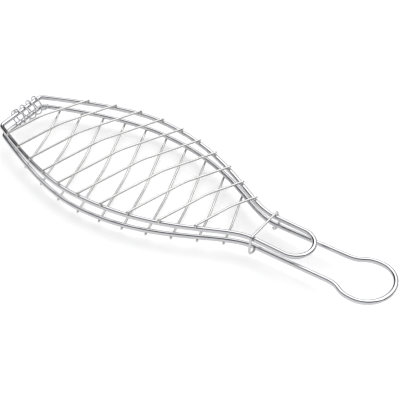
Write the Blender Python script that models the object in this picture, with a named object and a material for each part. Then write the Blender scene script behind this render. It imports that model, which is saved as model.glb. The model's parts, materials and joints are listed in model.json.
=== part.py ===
"""Wire grill basket for one whole fish: two hinged wire halves, a coil hinge and a sliding latch.

The basket lies along X with the hinge at its head end and the handle towards +X.
Sizes are in millimetres here and are turned into metres as each wire is made.
"""
import math

import bpy
from mathutils import Vector

MM = 0.001

# Wire stock
RIM_WIRE = 4.8
CROSS_WIRE = 2.4
LATCH_WIRE = 2.4
COIL_WIRE = 1.5
TOUCH_GAP = 0.3          # left between wires that touch or are welded on the real basket

# Outline of one half, as wire centre lines
HEAD_HALF_WIDTH = 30.0
HEAD_CORNER_RADIUS = 6.0
HEAD_FLARE = 0.41        # how fast the sides open at the head, across per along
WIDEST_HALF_WIDTH = 68.0
WIDEST_X = 139.0
NECK_X = 320.0           # where the sides become straight rails
RAIL_HALF_SPACING = 17.8

# How the outline's curves are drawn out, as lengths of their end tangents
FLARE_PULL = 70.0
CROWN_PULL = 28.0
WAIST_PULL = 101.0
NECK_PULL = 35.0

# Lid and handle along the rails
LID_REACH = 52.0         # from the neck to the end of the lid's round loop
GRIP_START = 78.0        # from the neck to where the rails swing out
GRIP_SWING = 33.0        # length of the swing
GRIP_HALF_WIDTH = 25.7
GRIP_NOSE = 24.8         # from the widest place of the grip to its end
SWING_PULL = 0.58        # share of the swing that each of its tangents takes

# Side view
HINGE_GAP = 12.6         # between the two end bars, centre to centre
NECK_GAP = 10.2          # between the two rims at the neck, centre to centre
LID_BOW = 2.0            # how far the lid's rim rises along its length
BASE_BOW = 3.8           # how far the lower rim sags along its length
BOW_STOP = 24.0          # the rims are bowed from the hinge to this far before the neck
RAIL_RISE = 0.033        # slope of the lower rails and the handle
RISE_BLEND = 20.0        # length over which that slope builds up

# Cross wires
CROSS_COUNT = 10
CROSS_FIRST_X = 33.5
CROSS_LAST_BEFORE_NECK = 39.0
CROSS_SLANT = 0.38       # along per across
CROSS_RIDGE = 0.105      # rise from the rim to the middle, per unit of half width
CROSS_BEND = 6.0         # length of the soft bend at the middle, each side
LONG_STUB = 2.4          # past the rim's centre line on one side
SHORT_STUB = 1.2         # and on the other side

# Hinge coil, wound from one corner of the head, where it just clears the sides, towards the other
COIL_OPEN_TURNS = 3.75
COIL_OPEN_PITCH = 9.1
COIL_CLOSED_TURNS = 1.0  # the last turn lies close to the one before it
COIL_CLOSED_PITCH = 2.6

# Latch
LATCH_BEFORE_NECK = 0.5
LATCH_CORNER = 2.5       # length of the soft bend between the bar and each leg, each side
LEG_LEAN = 14.0          # degrees that the legs spread from upright
HOOK_OUTSET = 1.7        # centre of each hook outside the rail
HOOK_DROP = 0.8          # and below it
HOOK_PLAY = 1.8          # room between a hook and its rail, were the two centred
HOOK_END = -172.0        # where each hook stops, in degrees round its centre

# How finely the wires are drawn
OUTLINE_STEP = 9.0       # along the long curves of the rims
SWING_STEP = 5.0         # along the swing of the grip
CORNER_STEPS = 5
LOOP_STEPS = 7
NOSE_STEPS = 8
RIM_ROUNDNESS = 3        # bevel resolution of the thick wire
FINE_ROUNDNESS = 2       # and of the thin wires
COIL_TURN_STEPS = 16
HOOK_STEPS = 10
BEND_STEPS = 5
CROSSING_ROUNDS = 30     # rounds in which a cross wire's meeting point with the rim settles


def bezier(start, start_pull, end_pull, end, step=OUTLINE_STEP):
    """Points along a cubic curve, evenly spaced by its parameter."""
    count = max(4, round((Vector(end) - Vector(start)).length / step))
    points = []
    for index in range(count + 1):
        t = index / count
        u = 1 - t
        weights = (u ** 3, 3 * u * u * t, 3 * u * t * t, t ** 3)
        controls = (start, start_pull, end_pull, end)
        points.append(tuple(sum(w * c[axis] for w, c in zip(weights, controls)) for axis in (0, 1)))
    return points


def arc(centre, radius, start, end, steps):
    """Points on a circle, from the start angle to the end angle in degrees."""
    points = []
    for index in range(steps + 1):
        angle = math.radians(start + (end - start) * index / steps)
        points.append((centre[0] + radius * math.cos(angle), centre[1] + radius * math.sin(angle)))
    return points


def side_outline():
    """One side of a half, from the middle of the end bar to the neck."""
    lean = math.atan(HEAD_FLARE)
    turn = math.pi / 2 - lean
    setback = HEAD_CORNER_RADIUS * math.tan(turn / 2)
    centre = (HEAD_CORNER_RADIUS, HEAD_HALF_WIDTH - setback)
    corner = arc(centre, HEAD_CORNER_RADIUS, 180, 90 + math.degrees(lean), CORNER_STEPS)
    flare_start = corner[-1]
    flare_pull = (FLARE_PULL, HEAD_HALF_WIDTH + HEAD_FLARE * FLARE_PULL)
    widest = (WIDEST_X, WIDEST_HALF_WIDTH)
    flare = bezier(flare_start, flare_pull, (WIDEST_X - CROWN_PULL, WIDEST_HALF_WIDTH), widest)
    waist = bezier(widest, (WIDEST_X + WAIST_PULL, WIDEST_HALF_WIDTH),
                   (NECK_X - NECK_PULL, RAIL_HALF_SPACING), (NECK_X, RAIL_HALF_SPACING))
    return corner + flare[1:] + waist[1:]


SIDE = side_outline()
LATCH_X = NECK_X - LATCH_BEFORE_NECK


def half_width(x):
    """Half the width of the basket's outline at x."""
    for (x0, y0), (x1, y1) in zip(SIDE, SIDE[1:]):
        if x0 <= x <= x1 and x1 > x0:
            return y0 + (y1 - y0) * (x - x0) / (x1 - x0)
    return RAIL_HALF_SPACING


def bow(x):
    """Share of a rim's bow at x: nothing at both ends, all of it in the middle."""
    span = NECK_X - BOW_STOP
    return math.sin(math.pi * x / span) ** 2 if 0 < x < span else 0.0


def base_rim_z(x):
    """Height of the lower rim's centre line. The rails are straight from the neck on."""
    past = x - (NECK_X - BOW_STOP)
    if past <= 0:
        rise = 0.0
    elif past < RISE_BLEND:
        rise = RAIL_RISE * past * past / (2 * RISE_BLEND)
    else:
        rise = RAIL_RISE * (past - RISE_BLEND / 2)
    return rise - BASE_BOW * bow(x)


def lid_rim_z(x):
    """Height of the lid rim's centre line, which closes down towards the neck."""
    return HINGE_GAP + (NECK_GAP - HINGE_GAP) * x / NECK_X + LID_BOW * bow(x)


def both_sides(side):
    """A closed outline from one side that starts at the end bar and ends on the middle line."""
    other = [(x, -y) for x, y in reversed(side) if y > 0]
    return side + other


def lid_outline():
    """The lid's closed outline, which ends in a half circle between the rails."""
    centre = (NECK_X + LID_REACH - RAIL_HALF_SPACING, 0)
    return both_sides(SIDE + arc(centre, RAIL_HALF_SPACING, 90, 0, LOOP_STEPS))


def base_outline():
    """The lower half's closed outline, which ends in the keyhole grip."""
    start = (NECK_X + GRIP_START, RAIL_HALF_SPACING)
    pull = SWING_PULL * GRIP_SWING
    widest = (start[0] + GRIP_SWING, GRIP_HALF_WIDTH)
    swing = bezier(start, (start[0] + pull, start[1]), (widest[0] - pull, widest[1]), widest, SWING_STEP)
    nose = []
    for index in range(1, NOSE_STEPS):
        angle = math.pi / 2 * (1 - index / NOSE_STEPS)
        nose.append((widest[0] + GRIP_NOSE * math.cos(angle), GRIP_HALF_WIDTH * math.sin(angle)))
    nose.append((widest[0] + GRIP_NOSE, 0.0))
    return both_sides(SIDE + swing + nose)


def material(name, colour, roughness):
    """Bright drawn wire."""
    made = bpy.data.materials.new(name)
    made.use_nodes = True
    shader = made.node_tree.nodes["Principled BSDF"]
    shader.inputs["Base Color"].default_value = (*colour, 1.0)
    shader.inputs["Metallic"].default_value = 1.0
    shader.inputs["Roughness"].default_value = roughness
    return made


def wire(name, points, diameter, roundness, closed, steel, carrier, origin):
    """A bent wire as one object, with its own origin at a given point of the basket."""
    curve = bpy.data.curves.new(name, "CURVE")
    curve.dimensions = "3D"
    curve.bevel_depth = diameter / 2 * MM
    curve.bevel_resolution = roundness
    curve.render_resolution_u = 0
    curve.use_fill_caps = True
    curve.materials.append(steel)
    spline = curve.splines.new("POLY")
    spline.points.add(len(points) - 1)
    for target, point in zip(spline.points, points):
        target.co = (*((Vector(point) - Vector(origin)) * MM), 1.0)
    spline.use_cyclic_u = closed
    piece = bpy.data.objects.new(name, curve)
    bpy.context.scene.collection.objects.link(piece)
    piece.parent = carrier


def rim_wire(name, points, steel, carrier, origin=(0, 0, 0)):
    """A closed loop of the thick wire."""
    wire(name, points, RIM_WIRE, RIM_ROUNDNESS, True, steel, carrier, origin)


def fine_wire(name, points, diameter, steel, carrier, origin=(0, 0, 0)):
    """An open length of thin wire with flat cut ends."""
    wire(name, points, diameter, FINE_ROUNDNESS, False, steel, carrier, origin)


def empty(name, place, parent=None):
    """A carrier that holds the pieces of one moving body."""
    carrier = bpy.data.objects.new(name, None)
    bpy.context.scene.collection.objects.link(carrier)
    carrier.parent = parent
    carrier.location = Vector(place) * MM
    return carrier


def crossing(middle_x, slant, side):
    """Where a cross wire that leans by the slant meets the rim on one side (+1 or -1)."""
    x = middle_x
    for _ in range(CROSSING_ROUNDS):
        x = middle_x + slant * side * half_width(x)
    return x, side * half_width(x)


def soft_bend(corner, first_run, second_run, length):
    """Points of a small curve that rounds the corner between two straight runs."""
    points = []
    for index in range(BEND_STEPS + 1):
        t = index / BEND_STEPS
        points.append(corner + length * ((1 - t) ** 2 * first_run + t ** 2 * second_run))
    return points


def cross_wire_points(index, rim_z, outward):
    """Centre line of one cross wire: two straight runs that meet in a soft bend at the middle.

    outward is +1 for the lid, whose wires lie on top, and -1 for the lower half, which is the
    same pattern turned over.
    """
    pitch = (NECK_X - CROSS_LAST_BEFORE_NECK - CROSS_FIRST_X) / (CROSS_COUNT - 1)
    middle_x = CROSS_FIRST_X + pitch * index
    slant = CROSS_SLANT * outward
    lift = (RIM_WIRE + CROSS_WIRE) / 2 + TOUCH_GAP
    ends = []
    for side in (-1, 1):
        x, y = crossing(middle_x, slant, side)
        ends.append(Vector((x, y, rim_z(x) + outward * lift)))
    half = (ends[1].y - ends[0].y) / 2
    ridge = Vector((middle_x, 0, (ends[0].z + ends[1].z) / 2 + outward * CROSS_RIDGE * half))
    stubs = (SHORT_STUB, LONG_STUB) if outward > 0 else (LONG_STUB, SHORT_STUB)
    runs = [(end - ridge).normalized() for end in ends]
    tips = [end + run * stub for end, run, stub in zip(ends, runs, stubs)]
    return [tips[0]] + soft_bend(ridge, runs[0], runs[1], CROSS_BEND) + [tips[1]]


def coil_radius():
    """Radius of the coil's centre line, which just clears both end bars."""
    return HINGE_GAP / 2 + RIM_WIRE / 2 + TOUCH_GAP + COIL_WIRE / 2


def coil_start():
    """Where the coil starts along Y, so that its first turn clears the side of the lower half."""
    radius = coil_radius()
    angle = math.asin(HINGE_GAP / 2 / radius)
    side_y = HEAD_HALF_WIDTH + HEAD_FLARE * radius * math.cos(angle)
    clear = (RIM_WIRE + COIL_WIRE) / 2 + TOUCH_GAP
    across = clear / math.cos(math.atan(HEAD_FLARE))
    return side_y - across + COIL_OPEN_PITCH * angle / (2 * math.pi)


def coil_points():
    """A round coil about both end bars, wound along Y, with its last turn closed up."""
    radius = coil_radius()
    start = coil_start()
    total = round((COIL_OPEN_TURNS + COIL_CLOSED_TURNS) * COIL_TURN_STEPS)
    points = []
    for index in range(total + 1):
        turns = index / COIL_TURN_STEPS
        closed = max(0.0, turns - COIL_OPEN_TURNS)
        y = start - COIL_OPEN_PITCH * (turns - closed) - COIL_CLOSED_PITCH * closed
        angle = 2 * math.pi * turns
        points.append((radius * math.cos(angle), y, HINGE_GAP / 2 - radius * math.sin(angle)))
    return points


def latch_points():
    """Bar over the lid's rails, with a leg down outside each rail and a hook under it."""
    base_z = base_rim_z(LATCH_X)
    bar_z = lid_rim_z(LATCH_X) + (RIM_WIRE + LATCH_WIRE) / 2 + TOUCH_GAP
    centre = (RAIL_HALF_SPACING + HOOK_OUTSET, base_z - HOOK_DROP)
    radius = (RIM_WIRE + LATCH_WIRE) / 2 + HOOK_PLAY
    hook = [Vector(point) for point in arc(centre, radius, LEG_LEAN, HOOK_END, HOOK_STEPS)]
    lean = math.radians(LEG_LEAN)
    corner = Vector((hook[0].x - (bar_z - hook[0].y) * math.tan(lean), bar_z))
    bend = soft_bend(corner, Vector((-1, 0)), Vector((math.sin(lean), -math.cos(lean))), LATCH_CORNER)
    one_side = bend + hook
    other_side = [(-y, z) for y, z in reversed(one_side)]
    return [(LATCH_X, y, z) for y, z in other_side + one_side]


def build():
    for old in list(bpy.data.objects):
        bpy.data.objects.remove(old, do_unlink=True)

    grip_end = NECK_X + GRIP_START + GRIP_SWING + GRIP_NOSE + RIM_WIRE / 2
    coil_front = -(coil_radius() + COIL_WIRE / 2)
    undersides = [cross_wire_points(index, base_rim_z, -1) for index in range(CROSS_COUNT)]
    lowest = min(point.z for points in undersides for point in points) - CROSS_WIRE / 2
    rim_steel = material("rim_steel", (0.80, 0.80, 0.80), 0.12)
    cross_steel = material("cross_steel", (0.84, 0.83, 0.80), 0.16)
    coil_steel = material("coil_steel", (0.78, 0.78, 0.79), 0.20)
    latch_steel = material("latch_steel", (0.86, 0.85, 0.82), 0.14)

    # The basket stands with the middle of its box over the origin and its lowest wire at zero.
    basket = empty("basket", (-(grip_end + coil_front) / 2, 0, -lowest))
    hinge_place = (0, 0, HINGE_GAP)
    latch_place = (LATCH_X, 0, base_rim_z(LATCH_X))
    lid = empty("lid_pivot", hinge_place, basket)
    slider = empty("latch_slider", latch_place, basket)

    base_rim = [(x, y, base_rim_z(x)) for x, y in base_outline()]
    lid_rim = [(x, y, lid_rim_z(x)) for x, y in lid_outline()]
    rim_wire("base_frame", base_rim, rim_steel, basket)
    rim_wire("lid_frame", lid_rim, rim_steel, lid, hinge_place)
    fine_wire("hinge_coil", coil_points(), COIL_WIRE, coil_steel, basket)
    fine_wire("latch", latch_points(), LATCH_WIRE, latch_steel, slider, latch_place)
    for index in range(CROSS_COUNT):
        number = f"{index + 1:02d}"
        below = cross_wire_points(index, base_rim_z, -1)
        above = cross_wire_points(index, lid_rim_z, 1)
        fine_wire(f"base_cross_wire_{number}", below, CROSS_WIRE, cross_steel, basket)
        fine_wire(f"lid_cross_wire_{number}", above, CROSS_WIRE, cross_steel, lid, hinge_place)


build()
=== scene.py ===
import json
import math
import random

import bpy
from mathutils import Matrix, Vector


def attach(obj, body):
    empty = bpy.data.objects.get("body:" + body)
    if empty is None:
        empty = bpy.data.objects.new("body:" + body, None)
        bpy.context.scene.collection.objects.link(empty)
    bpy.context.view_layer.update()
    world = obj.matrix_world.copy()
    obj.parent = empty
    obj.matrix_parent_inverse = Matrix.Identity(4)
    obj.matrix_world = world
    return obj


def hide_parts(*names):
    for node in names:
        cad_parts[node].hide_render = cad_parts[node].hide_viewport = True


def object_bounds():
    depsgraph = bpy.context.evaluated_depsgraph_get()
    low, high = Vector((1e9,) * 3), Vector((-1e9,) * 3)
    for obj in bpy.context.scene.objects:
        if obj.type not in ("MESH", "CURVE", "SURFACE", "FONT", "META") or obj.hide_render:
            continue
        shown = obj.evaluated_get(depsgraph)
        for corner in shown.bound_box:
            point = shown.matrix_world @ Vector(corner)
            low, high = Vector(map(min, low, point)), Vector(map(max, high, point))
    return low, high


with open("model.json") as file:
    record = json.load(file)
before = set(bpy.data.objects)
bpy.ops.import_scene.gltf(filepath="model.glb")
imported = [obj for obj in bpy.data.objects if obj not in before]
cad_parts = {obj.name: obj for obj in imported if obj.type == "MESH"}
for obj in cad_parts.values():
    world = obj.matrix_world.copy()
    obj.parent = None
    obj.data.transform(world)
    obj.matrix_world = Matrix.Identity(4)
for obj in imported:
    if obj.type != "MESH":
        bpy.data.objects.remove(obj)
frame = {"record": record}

# Looks of a wire basket for grilling one whole fish.
# The basket's own sizes are in millimetres, measured from the middle of the lower end bar at the
# head: X runs along the basket to the grip, Y across it and Z up. Everything else is in metres.

MM = 0.001
CAD_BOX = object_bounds()


# ---------------------------------------------------------------------------
# Sizes of the basket
# ---------------------------------------------------------------------------

# Wire stock
RIM_WIRE = 4.8
CROSS_WIRE = 2.4
LATCH_WIRE = 2.4
COIL_WIRE = 1.5
TOUCH_GAP = 0.3
WELD_LIFT = (RIM_WIRE + CROSS_WIRE) / 2 + TOUCH_GAP      # from a rim's centre line to a cross wire's

# Outline of one half, as wire centre lines
HEAD_HALF_WIDTH = 30.0
HEAD_CORNER_RADIUS = 6.0
HEAD_FLARE = 0.41
WIDEST_HALF_WIDTH = 68.0
WIDEST_X = 139.0
NECK_X = 320.0
RAIL_HALF_SPACING = 17.8
FLARE_PULL = 70.0
CROWN_PULL = 28.0
WAIST_PULL = 101.0
NECK_PULL = 35.0

# Lid and handle along the rails, from the neck
LID_REACH = 52.0
GRIP_START = 78.0
GRIP_SWING = 33.0
GRIP_HALF_WIDTH = 25.7
GRIP_NOSE = 24.8
SWING_PULL = 0.58

# Side view
HINGE_GAP = 12.6
NECK_GAP = 10.2
LID_BOW = 2.0
BASE_BOW = 3.8
BOW_STOP = 24.0
RAIL_RISE = 0.033
RISE_BLEND = 20.0

# Cross wires
CROSS_COUNT = 10
CROSS_FIRST_X = 33.5
CROSS_LAST_BEFORE_NECK = 39.0
CROSS_SLANT = 0.38
CROSS_RIDGE = 0.105
CROSS_BEND = 6.0
LONG_STUB = 2.4
SHORT_STUB = 1.2

# Hinge coil
COIL_OPEN_TURNS = 3.75
COIL_OPEN_PITCH = 9.1
COIL_CLOSED_TURNS = 1.0
COIL_CLOSED_PITCH = 2.6

# Latch
LATCH_X = NECK_X - 0.5
LATCH_CORNER = 2.5
LEG_LEAN = 14.0
HOOK_OUTSET = 1.7
HOOK_DROP = 0.8
HOOK_PLAY = 1.8          # room between a hook and its rail, were the two centred
HOOK_RADIUS = (RIM_WIRE + LATCH_WIRE) / 2 + HOOK_PLAY
HOOK_END = -172.0

# Cut ends of the open wires: distance from the tip, share of the radius
SHEARED_TIP = [(0.0, 0.80), (0.06, 0.93), (0.22, 1.0)]

# Welds: share of the way from the rim's centre line to the cross wire's, then half the collar's
# length along the cross wire and half its width across it, in radii of the cross wire
WELD_RINGS = [(0.36, 1.58, 1.46), (0.475, 1.42, 1.25), (0.59, 1.25, 1.10), (0.705, 1.17, 1.00),
              (0.82, 1.23, 0.93), (0.92, 1.33, 0.85)]
LEAST_GIRTH = 0.92
MOST_GIRTH = 1.08
HEAT_REACH = 3.2         # how far the tint of a weld reaches along the wire

# How finely the wires are drawn
FINE_STEP = 2.0
LEAST_CURVE_STEPS = 6
HEAD_CORNER_STEPS = 12
LOOP_STEPS = 24
GRIP_STEPS = 30
HOOK_STEPS = 30
SMALL_BEND_STEPS = 10
COIL_TURN_STEPS = 56
RIM_SIDES = 28
CROSS_SIDES = 18
COIL_SIDES = 14
LATCH_SIDES = 20
WELD_SIDES = 20
CROSSING_ROUNDS = 30     # rounds of narrowing down where a slanted wire meets the outline
ON_MIDDLE = 0.001        # nearer than this to the middle line counts as on it

UP = Vector((0, 0, 1))
joints = frame["record"]["behaviour"]["joints"]
lid_hinge = next(joint for joint in joints if joint["name"] == "lid_hinge")
HEAD = Vector(lid_hinge["pos_m"]) - HINGE_GAP * MM * UP


# ---------------------------------------------------------------------------
# Centre lines of the wires
# ---------------------------------------------------------------------------

def bezier(start, start_pull, end_pull, end):
    """Points along a cubic curve in plan."""
    count = max(LEAST_CURVE_STEPS, round(math.dist(start, end) / FINE_STEP))
    points = []
    for index in range(count + 1):
        t = index / count
        u = 1 - t
        weights = (u ** 3, 3 * u * u * t, 3 * u * t * t, t ** 3)
        controls = (start, start_pull, end_pull, end)
        points.append(tuple(sum(w * c[axis] for w, c in zip(weights, controls)) for axis in (0, 1)))
    return points


def arc(centre, radii, start, end, steps):
    """Points on a circle or an ellipse, from one angle to another in degrees."""
    points = []
    for index in range(steps + 1):
        angle = math.radians(start + (end - start) * index / steps)
        points.append((centre[0] + radii[0] * math.cos(angle), centre[1] + radii[1] * math.sin(angle)))
    return points


def side_outline():
    """One side of a half, from the head's corner to the neck."""
    lean = math.atan(HEAD_FLARE)
    setback = HEAD_CORNER_RADIUS * math.tan((math.pi / 2 - lean) / 2)
    centre = (HEAD_CORNER_RADIUS, HEAD_HALF_WIDTH - setback)
    corner = arc(centre, (HEAD_CORNER_RADIUS,) * 2, 180, 90 + math.degrees(lean), HEAD_CORNER_STEPS)
    flare_pull = (FLARE_PULL, HEAD_HALF_WIDTH + HEAD_FLARE * FLARE_PULL)
    widest = (WIDEST_X, WIDEST_HALF_WIDTH)
    flare = bezier(corner[-1], flare_pull, (WIDEST_X - CROWN_PULL, WIDEST_HALF_WIDTH), widest)
    waist = bezier(widest, (WIDEST_X + WAIST_PULL, WIDEST_HALF_WIDTH),
                   (NECK_X - NECK_PULL, RAIL_HALF_SPACING), (NECK_X, RAIL_HALF_SPACING))
    return corner + flare[1:] + waist[1:]


SIDE = side_outline()


def half_width(x):
    """Half the width of the basket's outline at x."""
    for (x0, y0), (x1, y1) in zip(SIDE, SIDE[1:]):
        if x0 <= x <= x1 and x1 > x0:
            return y0 + (y1 - y0) * (x - x0) / (x1 - x0)
    return RAIL_HALF_SPACING


def bow(x):
    """Share of a rim's bow at x: nothing at both ends, all of it in the middle."""
    span = NECK_X - BOW_STOP
    return math.sin(math.pi * x / span) ** 2 if 0 < x < span else 0.0


def base_rim_z(x):
    """Height of the lower rim's centre line. The rails are straight from the neck on."""
    past = x - (NECK_X - BOW_STOP)
    if past <= 0:
        rise = 0.0
    elif past < RISE_BLEND:
        rise = RAIL_RISE * past * past / (2 * RISE_BLEND)
    else:
        rise = RAIL_RISE * (past - RISE_BLEND / 2)
    return rise - BASE_BOW * bow(x)


def lid_rim_z(x):
    """Height of the lid rim's centre line, which closes down towards the neck."""
    return HINGE_GAP + (NECK_GAP - HINGE_GAP) * x / NECK_X + LID_BOW * bow(x)


def closed_rim(side, rim_z):
    """A closed centre line from one side that starts at the end bar and ends on the middle line."""
    outline = side + [(x, -y) for x, y in reversed(side) if y > ON_MIDDLE]
    return [Vector((x, y, rim_z(x))) for x, y in outline]


def lid_rim_line():
    """The lid's rim, which ends in a half circle between the rails."""
    centre = (NECK_X + LID_REACH - RAIL_HALF_SPACING, 0)
    return closed_rim(SIDE + arc(centre, (RAIL_HALF_SPACING,) * 2, 90, 0, LOOP_STEPS), lid_rim_z)


def base_rim_line():
    """The lower rim, which ends in the keyhole grip."""
    start = (NECK_X + GRIP_START, RAIL_HALF_SPACING)
    pull = SWING_PULL * GRIP_SWING
    widest = (start[0] + GRIP_SWING, GRIP_HALF_WIDTH)
    swing = bezier(start, (start[0] + pull, start[1]), (widest[0] - pull, widest[1]), widest)
    nose = arc((widest[0], 0), (GRIP_NOSE, GRIP_HALF_WIDTH), 90, 0, GRIP_STEPS)
    return closed_rim(SIDE + swing + nose[1:], base_rim_z)


def crossing(middle_x, slant, side):
    """Where a cross wire that leans by the slant meets the rim on one side (+1 or -1)."""
    x = middle_x
    for _ in range(CROSSING_ROUNDS):
        x = middle_x + slant * side * half_width(x)
    return x, side * half_width(x)


def soft_bend(corner, first_run, second_run, length):
    """Points of a small curve that rounds the corner between two straight runs."""
    points = []
    for index in range(SMALL_BEND_STEPS + 1):
        t = index / SMALL_BEND_STEPS
        points.append(corner + length * ((1 - t) ** 2 * first_run + t ** 2 * second_run))
    return points


def cross_wire_ends(index, rim_z, outward):
    """Where one cross wire rests on its rim, at the near side and at the far side."""
    pitch = (NECK_X - CROSS_LAST_BEFORE_NECK - CROSS_FIRST_X) / (CROSS_COUNT - 1)
    middle_x = CROSS_FIRST_X + pitch * index
    ends = []
    for side in (-1, 1):
        x, y = crossing(middle_x, CROSS_SLANT * outward, side)
        ends.append(Vector((x, y, rim_z(x) + outward * WELD_LIFT)))
    return middle_x, ends


def cross_wire_line(index, rim_z, outward):
    """Centre line of one cross wire: two straight runs that meet in a soft bend at the middle."""
    middle_x, ends = cross_wire_ends(index, rim_z, outward)
    half = (ends[1].y - ends[0].y) / 2
    ridge = Vector((middle_x, 0, (ends[0].z + ends[1].z) / 2 + outward * CROSS_RIDGE * half))
    stubs = (SHORT_STUB, LONG_STUB) if outward > 0 else (LONG_STUB, SHORT_STUB)
    runs = [(end - ridge).normalized() for end in ends]
    tips = [end + run * stub for end, run, stub in zip(ends, runs, stubs)]
    return [tips[0]] + soft_bend(ridge, *runs, CROSS_BEND) + [tips[1]]


def coil_line():
    """A round coil about both end bars, wound along Y, with its last turn closed up."""
    radius = HINGE_GAP / 2 + RIM_WIRE / 2 + TOUCH_GAP + COIL_WIRE / 2
    angle = math.asin(HINGE_GAP / 2 / radius)
    side_y = HEAD_HALF_WIDTH + HEAD_FLARE * radius * math.cos(angle)
    clear = (RIM_WIRE + COIL_WIRE) / 2 + TOUCH_GAP
    start = side_y - clear / math.cos(math.atan(HEAD_FLARE)) + COIL_OPEN_PITCH * angle / (2 * math.pi)
    points = []
    for index in range(round((COIL_OPEN_TURNS + COIL_CLOSED_TURNS) * COIL_TURN_STEPS) + 1):
        turns = index / COIL_TURN_STEPS
        closed = max(0.0, turns - COIL_OPEN_TURNS)
        y = start - COIL_OPEN_PITCH * (turns - closed) - COIL_CLOSED_PITCH * closed
        angle = 2 * math.pi * turns
        points.append(Vector((radius * math.cos(angle), y, HINGE_GAP / 2 - radius * math.sin(angle))))
    return points


def latch_line():
    """Bar over the lid's rails, with a leg down outside each rail and a hook under it."""
    base_z = base_rim_z(LATCH_X)
    bar_z = lid_rim_z(LATCH_X) + (RIM_WIRE + LATCH_WIRE) / 2 + TOUCH_GAP
    centre = (RAIL_HALF_SPACING + HOOK_OUTSET, base_z - HOOK_DROP)
    hook = [Vector(point) for point in arc(centre, (HOOK_RADIUS,) * 2, LEG_LEAN, HOOK_END, HOOK_STEPS)]
    lean = math.radians(LEG_LEAN)
    corner = Vector((hook[0].x - (bar_z - hook[0].y) * math.tan(lean), bar_z))
    bend = soft_bend(corner, Vector((-1, 0)), Vector((math.sin(lean), -math.cos(lean))), LATCH_CORNER)
    one_side = [tuple(point) for point in bend + hook]
    other_side = [(-y, z) for y, z in reversed(one_side)]
    return [Vector((LATCH_X, y, z)) for y, z in other_side + one_side]


# ---------------------------------------------------------------------------
# Wire and weld meshes
# ---------------------------------------------------------------------------

def resampled(line, closed):
    """The same line with its long straight runs cut into short steps."""
    joined = line + line[:1] if closed else line
    points = []
    for start, end in zip(joined, joined[1:]):
        steps = max(1, round((end - start).length / FINE_STEP))
        points += [start.lerp(end, step / steps) for step in range(steps)]
    return points if closed else points + [line[-1]]


def place(point):
    """A point of the basket, in the frame's metres."""
    return HEAD + Vector(point) * MM


def make_piece(name, vertices, faces, body, finish, replaced=()):
    """A finished mesh as one piece that rides on a body."""
    mesh = bpy.data.meshes.new(name)
    mesh.from_pydata(vertices, [], faces)
    mesh.validate()
    mesh.shade_smooth()
    mesh.materials.append(finish)
    piece = bpy.data.objects.new(name, mesh)
    bpy.context.scene.collection.objects.link(piece)
    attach(piece, body)
    if replaced:
        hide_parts(*replaced)
    return piece


def swept_wire(name, line, diameter, sides, reference, closed, body, finish, hot_spots=()):
    """Drawn wire along a line. The reference is a direction that the line never follows.

    Each vertex keeps its place along and round the wire for the finish, and how near a weld it is.
    """
    line = resampled(line, closed)
    count = len(line)
    radius = diameter / 2
    rings = []
    travelled = 0.0
    for index, point in enumerate(line):
        before = line[index - 1] if closed or index else point
        after = line[(index + 1) % count] if closed or index < count - 1 else point
        along = (after - before).normalized()
        if index:
            travelled += (point - line[index - 1]).length
        if not closed and index == 0:
            rings += [(point + along * inset, along, radius * share, travelled + inset)
                      for inset, share in SHEARED_TIP]
        elif not closed and index == count - 1:
            rings += [(point - along * inset, along, radius * share, travelled - inset)
                      for inset, share in reversed(SHEARED_TIP)]
        else:
            rings.append((point, along, radius, travelled))
    vertices, lie, heat = [], [], []
    for centre, along, ring_radius, distance in rings:
        across = along.cross(reference).normalized()
        up = across.cross(along)
        near = min(((centre - spot).length for spot in hot_spots), default=math.inf)
        for side in range(sides):
            angle = 2 * math.pi * side / sides
            vertices.append(place(centre + ring_radius * (math.cos(angle) * across + math.sin(angle) * up)))
            lie.append((distance * MM, radius * MM * math.cos(angle), radius * MM * math.sin(angle)))
            heat.append(math.exp(-(near / HEAT_REACH) ** 2))
    faces = []
    ring_count = len(rings)
    for ring in range(ring_count if closed else ring_count - 1):
        for side in range(sides):
            turn = (side + 1) % sides
            here, there = ring * sides, (ring + 1) % ring_count * sides
            faces.append((here + side, here + turn, there + turn, there + side))
    if not closed:
        faces.append(tuple(reversed(range(sides))))
        faces.append(tuple(range((ring_count - 1) * sides, ring_count * sides)))
    piece = make_piece(name, vertices, faces, body, finish, (name,))
    lie_values = piece.data.attributes.new("lie", "FLOAT_VECTOR", "POINT")
    lie_values.data.foreach_set("vector", [value for row in lie for value in row])
    heat_values = piece.data.attributes.new("heat", "FLOAT", "POINT")
    heat_values.data.foreach_set("value", heat)
    return piece


def add_weld(vertices, faces, foot, top, run, girth):
    """One resistance weld between a rim and a cross wire: a flared collar that joins the two."""
    run = Vector((run.x, run.y, 0)).normalized() * CROSS_WIRE / 2
    aside = Vector((-run.y, run.x, 0))
    upright = top.z > foot.z
    start = len(vertices)
    for share, along, across in WELD_RINGS:
        for step in range(WELD_SIDES):
            angle = 2 * math.pi * step / WELD_SIDES
            offset = run * along * math.cos(angle) + aside * across * math.sin(angle)
            vertices.append(place(foot.lerp(top, share) + offset * girth))
    for ring in range(len(WELD_RINGS) - 1):
        for step in range(WELD_SIDES):
            turn = (step + 1) % WELD_SIDES
            here, there = start + ring * WELD_SIDES, start + (ring + 1) * WELD_SIDES
            face = (here + step, here + turn, there + turn, there + step)
            faces.append(face if upright else tuple(reversed(face)))
    foot_ring = tuple(range(start, start + WELD_SIDES))
    top_ring = tuple(range(len(vertices) - WELD_SIDES, len(vertices)))
    faces.append(tuple(reversed(foot_ring)) if upright else foot_ring)
    faces.append(top_ring if upright else tuple(reversed(top_ring)))


# ---------------------------------------------------------------------------
# Finishes
# ---------------------------------------------------------------------------

def colour(red, green, blue):
    return red, green, blue, 1.0


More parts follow.
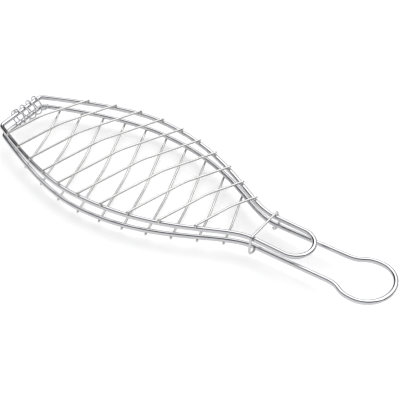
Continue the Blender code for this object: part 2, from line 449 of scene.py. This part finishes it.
CHROME = (0.58, 0.58, 0.59)
DULL_CHROME = (0.50, 0.50, 0.52)
CROSS_WIRE_CHROME = (0.58, 0.58, 0.575)
DULL_CROSS_WIRE_CHROME = (0.50, 0.50, 0.495)
LATCH_WIRE_CHROME = (0.60, 0.60, 0.595)
DULL_LATCH_WIRE_CHROME = (0.53, 0.53, 0.53)
STRAW_CHROME = (0.60, 0.54, 0.44)
BLUE_METAL = (0.48, 0.48, 0.51)
STRAW_METAL = (0.56, 0.53, 0.47)
CLEAN_METAL = (0.62, 0.61, 0.58)
BLACK = colour(0.0, 0.0, 0.0)
WHITE = colour(1.0, 1.0, 1.0)
TABLE_GLOW = 0.65

# How closely each mark is spaced, per metre: one number, or three for along and round a wire
DIE_LINES = (14.0, 1900.0, 1900.0)
DIMPLES = (160.0, 420.0, 420.0)
SMEARS = 55.0
PATCHES = 17.0
PEBBLES = 1500.0
BLUSH = 240.0
TABLE_MOTTLE = 6.0


class Value:
    """A socket of a shader. Arithmetic on values adds Math nodes."""

    def __init__(self, finish, socket):
        self.finish = finish
        self.socket = socket

    def math(self, operation, *values):
        return self.finish.node("ShaderNodeMath", {"operation": operation}, dict(enumerate(values)))

    def __add__(self, other):
        return self.math("ADD", self, other)

    def __mul__(self, other):
        return self.math("MULTIPLY", self, other)

    def __truediv__(self, other):
        return self.math("DIVIDE", self, other)

    def __rtruediv__(self, other):
        return self.math("DIVIDE", other, self)

    __radd__ = __add__
    __rmul__ = __mul__


class Finish:
    """A material or a world whose nodes are made by one method."""

    def __init__(self, owner):
        owner.use_nodes = True
        self.owner = owner
        self.tree = owner.node_tree
        self.tree.nodes.clear()

    def node(self, kind, settings, inputs, output=0):
        """A node with its settings made first and its sockets filled or linked. Gives one output."""
        made = self.tree.nodes.new(kind)
        for name, setting in settings.items():
            if name == "stops":
                self.set_stops(made.color_ramp, setting)
            else:
                setattr(made, name, setting)
        for name, value in inputs.items():
            if isinstance(value, Value):
                self.tree.links.new(value.socket, made.inputs[name])
            else:
                made.inputs[name].default_value = value
        return Value(self, made.outputs[output]) if made.outputs else None

    def set_stops(self, ramp, stops):
        """The stops of a colour ramp, as place and grey or colour."""
        while len(ramp.elements) < len(stops):
            ramp.elements.new(0.5)
        for element, (position, shade) in zip(ramp.elements, stops):
            element.position = position
            element.color = colour(*shade) if isinstance(shade, tuple) else colour(shade, shade, shade)

    def noise(self, vector, scale, detail=3.0, roughness=0.5):
        sockets = {"Vector": vector, "Scale": scale, "Detail": detail, "Roughness": roughness}
        return self.node("ShaderNodeTexNoise", {}, sockets, "Fac")

    def stretched(self, vector, factors):
        """A place with each of its axes scaled."""
        return self.node("ShaderNodeVectorMath", {"operation": "MULTIPLY"}, {0: vector, 1: factors})

    def ramp(self, factor, stops):
        return self.node("ShaderNodeValToRGB", {"stops": stops}, {"Fac": factor}, "Color")

    def grey(self, factor, stops):
        """A brightness between its stops, as one number."""
        return self.node("ShaderNodeSeparateColor", {}, {"Color": self.ramp(factor, stops)}, "Red")

    def tinted(self, factor, first, second):
        """A colour between two others. A Mix node has its colours on sockets 6, 7 and output 2."""
        sockets = {0: factor, 6: first, 7: second}
        return self.node("ShaderNodeMix", {"data_type": "RGBA"}, sockets, 2)

    def bumps(self, height, strength, distance):
        """A normal that is tilted by a height."""
        sockets = {"Strength": strength, "Distance": distance, "Height": height}
        return self.node("ShaderNodeBump", {}, sockets, "Normal")

    def surface(self, **sockets):
        """The Principled surface and the output."""
        named = {name.replace("_", " "): value for name, value in sockets.items()}
        shader = self.node("ShaderNodeBsdfPrincipled", {}, named, "BSDF")
        self.node("ShaderNodeOutputMaterial", {}, {"Surface": shader})
        return self.owner


def bright_wire(name, steel, dull, smooth, scuffed, line_depth):
    """Plated drawn wire: lines from the die along it, faint dimples, smears, and tint at the welds."""
    finish = Finish(bpy.data.materials.new(name))
    lie = finish.node("ShaderNodeAttribute", {"attribute_name": "lie"}, {}, "Vector")
    heat = finish.node("ShaderNodeAttribute", {"attribute_name": "heat"}, {}, "Fac")
    here = finish.node("ShaderNodeTexCoord", {}, {}, "Object")
    die_lines = finish.noise(finish.stretched(lie, DIE_LINES), 1.0, 4.0, 0.6)
    dimples = finish.noise(finish.stretched(lie, DIMPLES), 1.0, 2.0)
    smears = finish.noise(here, SMEARS, 5.0, 0.62)
    patches = finish.noise(here, PATCHES, 2.0)
    worn = finish.grey(smears, [(0.44, 0.0), (0.68, 1.0)])
    plating = finish.tinted(patches, colour(*steel), colour(*dull))
    straw = finish.tinted(heat * 0.35, plating, colour(*STRAW_CHROME))
    roughness = smooth + worn * (scuffed - smooth) + heat * 0.08 + die_lines * 0.03
    height = die_lines * line_depth + dimples * 0.5
    bumps = finish.bumps(height, 0.20, 0.06 * MM)
    return finish.surface(Base_Color=straw, Metallic=1.0, Roughness=roughness, Normal=bumps)


def weld_metal():
    """Pressed weld metal: pebbled, duller than the wire and faintly straw and blue."""
    finish = Finish(bpy.data.materials.new("weld_metal"))
    here = finish.node("ShaderNodeTexCoord", {}, {}, "Object")
    pebbles = finish.noise(here, PEBBLES, 3.0, 0.6)
    blush = finish.noise(here, BLUSH, 2.0)
    tint = finish.ramp(blush, [(0.30, BLUE_METAL), (0.50, STRAW_METAL), (0.70, CLEAN_METAL)])
    roughness = 0.16 + pebbles * 0.20
    bumps = finish.bumps(pebbles, 0.5, 0.1 * MM)
    return finish.surface(Base_Color=tint, Metallic=1.0, Roughness=roughness, Normal=bumps)


def pale_table():
    """The matt white table under the basket, lit faintly from within so that shadows stay soft."""
    finish = Finish(bpy.data.materials.new("pale_table"))
    here = finish.node("ShaderNodeTexCoord", {}, {}, "Object")
    mottle = finish.noise(here, TABLE_MOTTLE, 2.0)
    white = finish.tinted(mottle, colour(0.65, 0.65, 0.65), colour(0.68, 0.68, 0.68))
    return finish.surface(Base_Color=white, Roughness=0.75,
                          Emission_Color=white, Emission_Strength=TABLE_GLOW)


RIM_CHROME = bright_wire("rim_chrome", CHROME, DULL_CHROME, 0.03, 0.12, 1.0)
CROSS_CHROME = bright_wire("cross_chrome", CROSS_WIRE_CHROME, DULL_CROSS_WIRE_CHROME, 0.05, 0.16, 0.8)
COIL_CHROME = bright_wire("coil_chrome", CHROME, DULL_CHROME, 0.08, 0.22, 0.8)
LATCH_CHROME = bright_wire("latch_chrome", LATCH_WIRE_CHROME, DULL_LATCH_WIRE_CHROME, 0.03, 0.12, 0.8)
WELD_METAL = weld_metal()


# ---------------------------------------------------------------------------
# The basket
# ---------------------------------------------------------------------------

def make_half(body, rim_line, rim_z, outward, welding):
    """One half of the basket: its rim, its ten cross wires and their welds."""
    feet = []
    weld_vertices, weld_faces = [], []
    for index in range(CROSS_COUNT):
        ends = cross_wire_ends(index, rim_z, outward)[1]
        feet += [end - outward * WELD_LIFT * UP for end in ends]
        line = cross_wire_line(index, rim_z, outward)
        name = f"{body}_cross_wire_{index + 1:02d}"
        swept_wire(name, line, CROSS_WIRE, CROSS_SIDES, UP, False, body, CROSS_CHROME, ends)
        for foot, end in zip(feet[-2:], ends):
            girth = welding.uniform(LEAST_GIRTH, MOST_GIRTH)
            add_weld(weld_vertices, weld_faces, foot, end, line[-1] - line[0], girth)
    swept_wire(f"{body}_frame", rim_line, RIM_WIRE, RIM_SIDES, UP, True, body, RIM_CHROME, feet)
    make_piece(f"{body}_welds", weld_vertices, weld_faces, body, WELD_METAL)


def make_basket():
    welding = random.Random(7)
    make_half("base", base_rim_line(), base_rim_z, -1, welding)
    make_half("lid", lid_rim_line(), lid_rim_z, 1, welding)
    swept_wire("hinge_coil", coil_line(), COIL_WIRE, COIL_SIDES, Vector((0, 1, 0)), False,
               "base", COIL_CHROME)
    swept_wire("latch", latch_line(), LATCH_WIRE, LATCH_SIDES, Vector((1, 0, 0)), False,
               "latch", LATCH_CHROME)


# ---------------------------------------------------------------------------
# Table, light and camera
# ---------------------------------------------------------------------------

CAMERA_YAW = 40.66       # degrees
CAMERA_PITCH = 42.44
CAMERA_ROLL = -4.73
CAMERA_DISTANCE = 1.0506
CAMERA_LENS = 95.8
SENSOR_WIDTH = 36.0
AIM = Vector((0.23575, 0.00873, -0.00398))   # from the middle of the lower end bar
TABLE_HALF = 4.0

# The light's parts: how bright each is against the turn over the basket, in degrees, from the near
# side to the far side or from the handle's end to the head's end
TENT_STRENGTH = 2.3
CARD = [(0, 0.45), (44, 0.48), (47, 0.0)]
BOX_ACROSS = [(84, 0.0), (87, 1.0), (150, 1.0), (154, 0.0), (180, 0.05)]
BOX_ALONG = [(37, 0.0), (41, 1.0), (132, 1.0), (138, 0.0)]


def make_table():
    """A wide pale table at the level of the lowest wire."""
    low = CAD_BOX[0].z
    corners = [(-1, -1), (1, -1), (1, 1), (-1, 1)]
    mesh = bpy.data.meshes.new("table")
    mesh.from_pydata([(x * TABLE_HALF, y * TABLE_HALF, low) for x, y in corners], [], [(0, 1, 2, 3)])
    mesh.materials.append(pale_table())
    table = bpy.data.objects.new("table", mesh)
    bpy.context.scene.collection.objects.link(table)


def camera_axes():
    """The camera's right, up and forward directions."""
    yaw, pitch, roll = (math.radians(angle) for angle in (CAMERA_YAW, CAMERA_PITCH, CAMERA_ROLL))
    level = Vector((math.cos(yaw), math.sin(yaw), 0))
    ahead = Vector((-math.sin(yaw), math.cos(yaw), 0))
    forward = ahead * math.cos(pitch) - UP * math.sin(pitch)
    steep = ahead * math.sin(pitch) + UP * math.cos(pitch)
    right = level * math.cos(roll) + steep * math.sin(roll)
    up = steep * math.cos(roll) - level * math.sin(roll)
    return right, up, forward


def make_camera():
    right, up, forward = camera_axes()
    target = HEAD + AIM
    data = bpy.data.cameras.new("camera")
    data.sensor_width = SENSOR_WIDTH
    data.lens = CAMERA_LENS
    camera = bpy.data.objects.new("camera", data)
    camera.matrix_world = Matrix.LocRotScale(target - forward * CAMERA_DISTANCE,
                                             Matrix((right, up, -forward)).transposed(), None)
    bpy.context.scene.collection.objects.link(camera)
    bpy.context.scene.camera = camera


def shares_of_half_turn(stops):
    """Stops in degrees, as stops from 0 to 1."""
    return [(degrees / 180, brightness) for degrees, brightness in stops]


def make_light():
    """A studio tent over the basket: a wide softbox overhead, and a pale card low down on the near side.

    The rest of it is dark, which gives the chrome its dark lines. The camera itself sees plain pale
    paper past the table.
    """
    world = bpy.data.worlds.new("studio")
    bpy.context.scene.world = world
    studio = Finish(world)
    direction = studio.node("ShaderNodeTexCoord", {}, {}, "Generated")
    along = studio.node("ShaderNodeSeparateXYZ", {}, {"Vector": direction}, "X")
    across = studio.node("ShaderNodeSeparateXYZ", {}, {"Vector": direction}, "Y")
    height = studio.node("ShaderNodeSeparateXYZ", {}, {"Vector": direction}, "Z")
    side_turn = height.math("ARCTAN2", height, across * -1.0) / math.pi
    end_turn = height.math("ARCTAN2", height, along) / math.pi
    card = studio.grey(side_turn, shares_of_half_turn(CARD))
    box_across = studio.grey(side_turn, shares_of_half_turn(BOX_ACROSS))
    box_along = studio.grey(end_turn, shares_of_half_turn(BOX_ALONG))
    lit = studio.tinted(card + box_across * box_along, BLACK, WHITE)
    seen = studio.node("ShaderNodeLightPath", {}, {}, "Is Camera Ray")
    paper = studio.tinted(seen, lit, WHITE)
    sockets = {"Color": paper, "Strength": TENT_STRENGTH}
    shade = studio.node("ShaderNodeBackground", {}, sockets, "Background")
    studio.node("ShaderNodeOutputWorld", {}, {"Surface": shade})


make_basket()
make_table()
make_light()
make_camera()
bpy.context.scene.view_settings.view_transform = "Standard"
